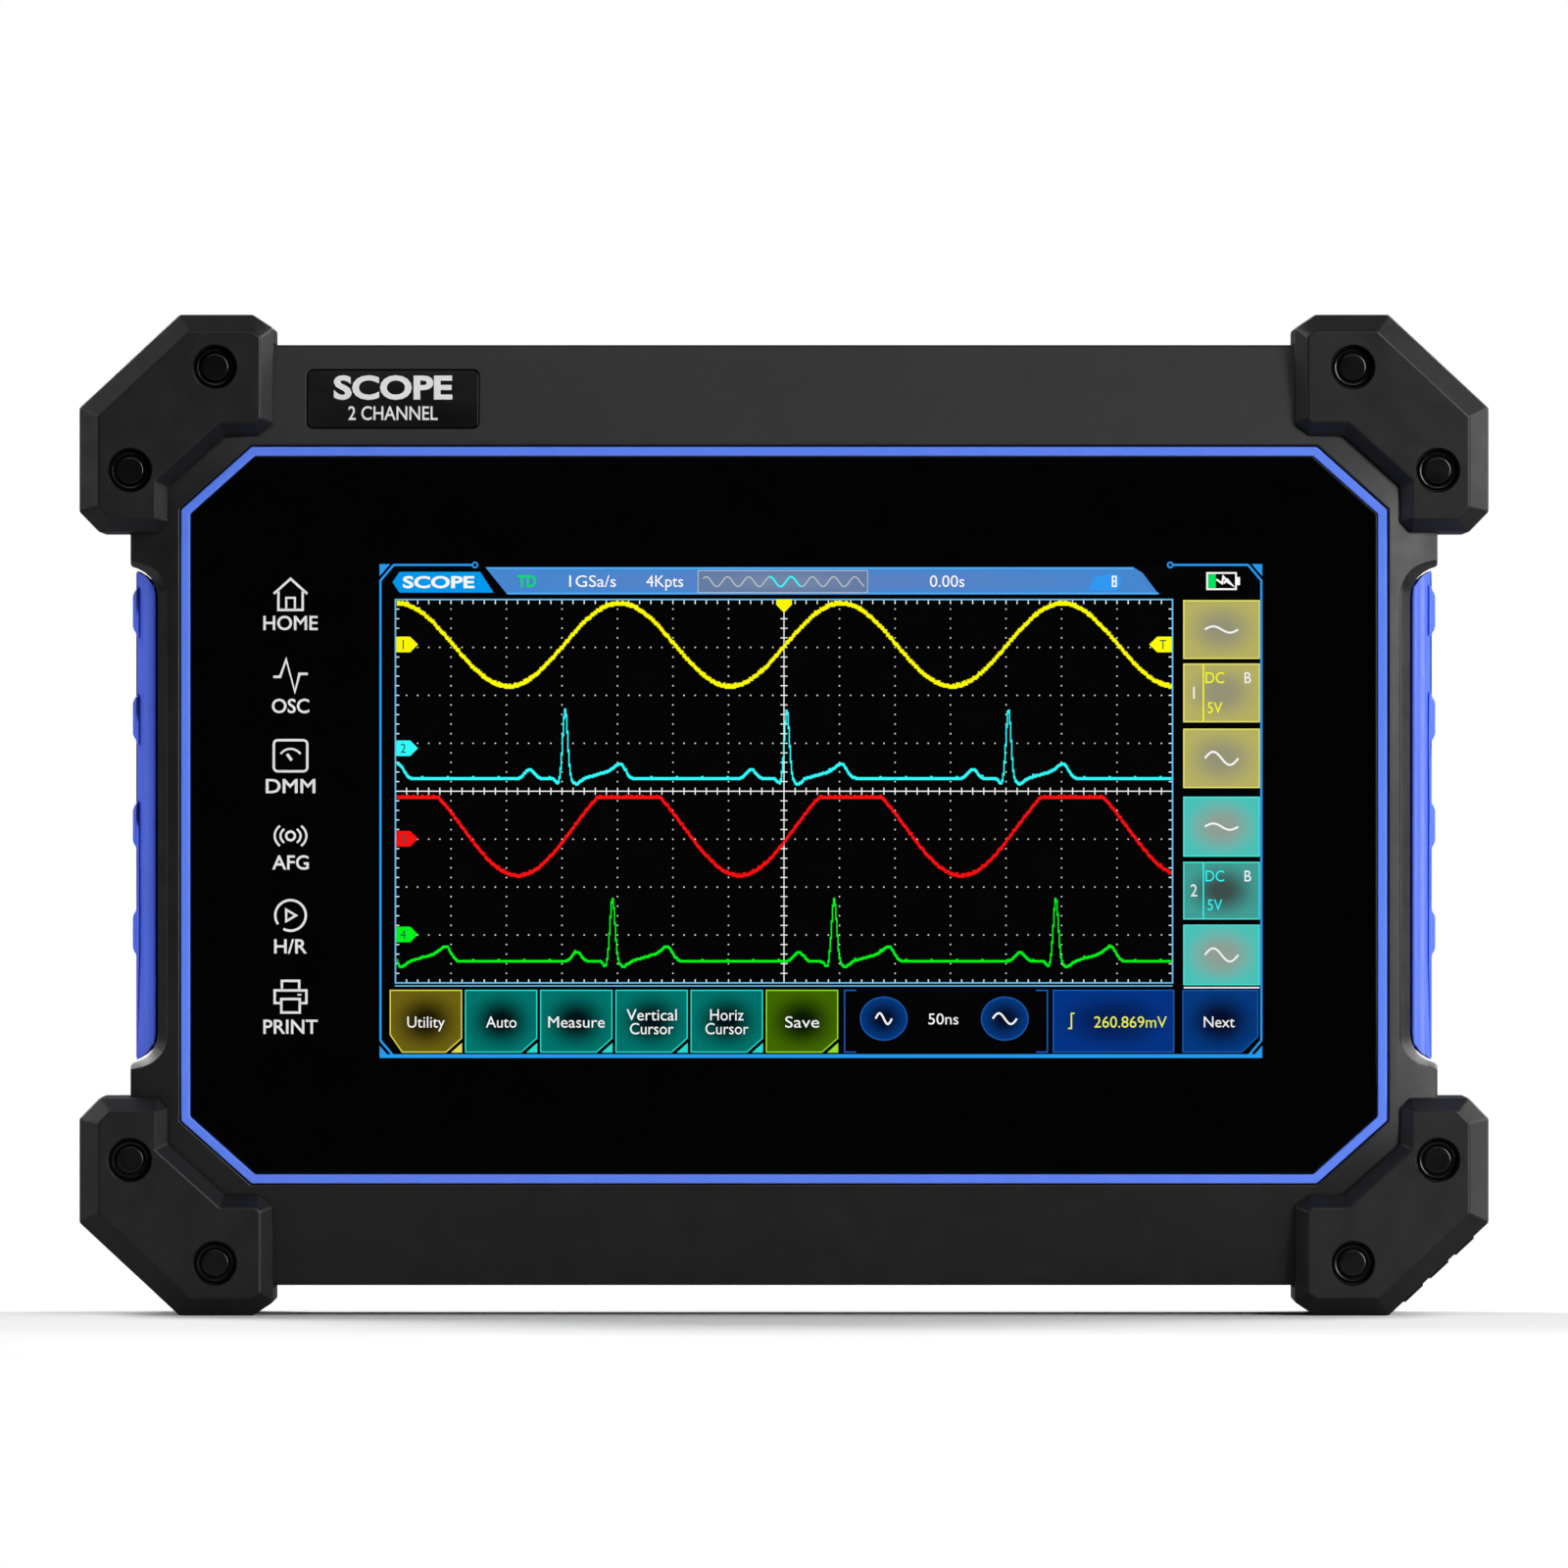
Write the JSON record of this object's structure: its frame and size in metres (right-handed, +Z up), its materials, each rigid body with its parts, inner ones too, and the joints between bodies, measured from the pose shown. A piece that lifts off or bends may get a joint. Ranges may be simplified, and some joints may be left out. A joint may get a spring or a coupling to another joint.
{
  "type": "handheld tablet oscilloscope",
  "caption": "Battery touchscreen oscilloscope in a two-shell case with rubber corner bumpers, blue side grips, top connector bay, fold-out stand and multimeter sockets",
  "frame": {"origin": "middle of the bounding box's bottom face, on the surface that the instrument stands on", "axes": "+X to the user's right, +Y away from the user through the case's thickness (the display faces -Y), +Z up"},
  "size_m": [0.2444, 0.048, 0.1736],
  "materials": {
    "case": "fine-textured black",
    "bumper_rubber": "matte black",
    "grip_blue": "satin blue",
    "accent_blue": "satin blue",
    "cover_glass": "polished, black border print",
    "display": "lit display",
    "plate_black": "gloss black",
    "label_film": "silver film",
    "screw_black": "black oxide",
    "nickel": "bright nickel plate",
    "jack_red": "moulded red",
    "jack_black": "moulded black",
    "steel": "tinned",
    "aluminium": "mill",
    "board_green": "green solder mask",
    "flex_amber": "polyimide film",
    "battery_wrap": "heat-shrink film",
    "fuse_ceramic": "glazed white"
  },
  "bodies": {
    "case": {"front_shell": "case", "rear_shell": "case", "battery_door": "case", "bumper_top_left": "bumper_rubber", "bumper_top_right": "bumper_rubber", "bumper_bottom_left": "bumper_rubber", "bumper_bottom_right": "bumper_rubber", "case_gasket": "bumper_rubber", "side_grip_left": "grip_blue", "side_grip_right": "grip_blue", "accent_ring": "accent_blue", "touch_glass": "cover_glass", "lcd_module": "display", "nameplate": "plate_black", "rating_label": "label_film", "bumper_screw_top_left_1": "screw_black", "bumper_screw_top_left_2": "screw_black", "bumper_screw_top_right_1": "screw_black", "bumper_screw_top_right_2": "screw_black", "bumper_screw_bottom_left_1": "screw_black", "bumper_screw_bottom_left_2": "screw_black", "bumper_screw_bottom_right_1": "screw_black", "bumper_screw_bottom_right_2": "screw_black", "case_screw_top_left": "screw_black", "case_screw_top_right": "screw_black", "case_screw_bottom_left": "screw_black", "case_screw_bottom_right": "screw_black", "battery_door_screw_1": "screw_black", "battery_door_screw_2": "screw_black", "bnc_channel_1": "nickel", "bnc_channel_2": "nickel", "bnc_generator": "nickel", "dmm_jack_10a": "jack_red", "dmm_jack_ma": "jack_red", "dmm_jack_volt_ohm": "jack_red", "dmm_jack_common": "jack_black", "usb_a_port": "steel", "usb_c_port": "steel", "port_cover_pin": "steel", "kickstand_pin_left": "steel", "kickstand_pin_right": "steel", "power_switch": "steel", "afe_shield": "steel", "lcd_bracket": "aluminium", "heat_sink": "aluminium", "main_board": "board_green", "jack_board": "board_green", "dmm_board": "board_green", "wifi_aerial": "board_green", "display_flex": "flex_amber", "battery_pack": "battery_wrap", "speaker": "jack_black", "fuse_10a": "fuse_ceramic", "fuse_ma": "fuse_ceramic"},
    "stand": {"kickstand": "case", "kickstand_foot": "bumper_rubber"},
    "port_flap": {"port_cover": "bumper_rubber"},
    "button": {"power_button": "bumper_rubber"}
  },
  "joints": [
    {"name": "kickstand_hinge", "type": "hinge", "parent": "case", "child": "stand", "pos_m": [0, 0.0187, 0.1088], "axis": [1, 0, 0], "range_deg": [0, 45]},
    {"name": "port_cover_hinge", "type": "hinge", "parent": "case", "child": "port_flap", "pos_m": [-0.005, 0.002, 0.1517], "axis": [1, 0, 0], "range_deg": [0, 90]},
    {"name": "power_button_slide", "type": "slide", "parent": "case", "child": "button", "axis": [0, 0, -1], "range_m": [0, 0.0008], "stiffness_N_per_m": 400}
  ]
}
